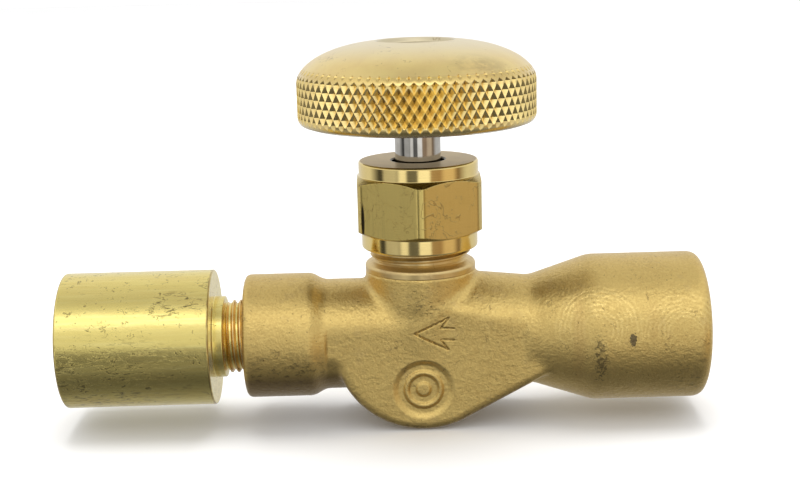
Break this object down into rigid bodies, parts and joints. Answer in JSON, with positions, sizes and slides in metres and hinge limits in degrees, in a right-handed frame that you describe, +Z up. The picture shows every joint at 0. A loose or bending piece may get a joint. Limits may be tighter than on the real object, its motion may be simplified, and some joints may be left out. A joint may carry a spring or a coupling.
{
  "type": "needle valve",
  "caption": "Inline brass needle valve with a knurled domed handwheel on a rising stem, a hexagonal packing nut and a round threaded outlet adapter.",
  "frame": {"origin": "centre of the inlet port at its mouth, on the pipe axis", "axes": "+X out of the inlet port along the pipe axis, +Z up along the stem to the handwheel, Y across the valve"},
  "size_m": [0.0896, 0.0328, 0.0534],
  "materials": {
    "forged_brass": "sand-blasted forging",
    "turned_brass": "turned and milled, semi-bright",
    "handwheel_brass": "turned satin with a bright diamond knurl",
    "drawn_brass": "drawn bar, lengthwise streaks",
    "stainless_steel": "ground",
    "ptfe": "matte",
    "nitrile_rubber": "matte"
  },
  "bodies": {
    "valve": {"valve_body": "forged_brass", "packing_nut": "turned_brass", "gland_follower": "turned_brass", "upper_packing_ring": "ptfe", "lower_packing_ring": "ptfe", "packing_washer": "stainless_steel", "outlet_adapter": "drawn_brass"},
    "stem_seals": {"stem_o_ring": "nitrile_rubber", "stem_backup_ring": "ptfe"},
    "stem_and_handwheel": {"stem": "stainless_steel", "handwheel": "handwheel_brass", "handwheel_screw": "stainless_steel"}
  },
  "joints": [
    {"name": "stem_rise", "type": "slide", "parent": "valve", "child": "stem_seals", "axis": [0, 0, 1], "range_m": [-0.00191, 0.00255]},
    {"name": "handwheel_turn", "type": "hinge", "parent": "stem_seals", "child": "stem_and_handwheel", "pos_m": [-0.0394, 0, 0], "axis": [0, 0, 1], "range_deg": [-540, 720]}
  ],
  "couplings": [
    {"joint": "stem_rise", "follows": "handwheel_turn", "m_per_rad": 0.00020213}
  ]
}
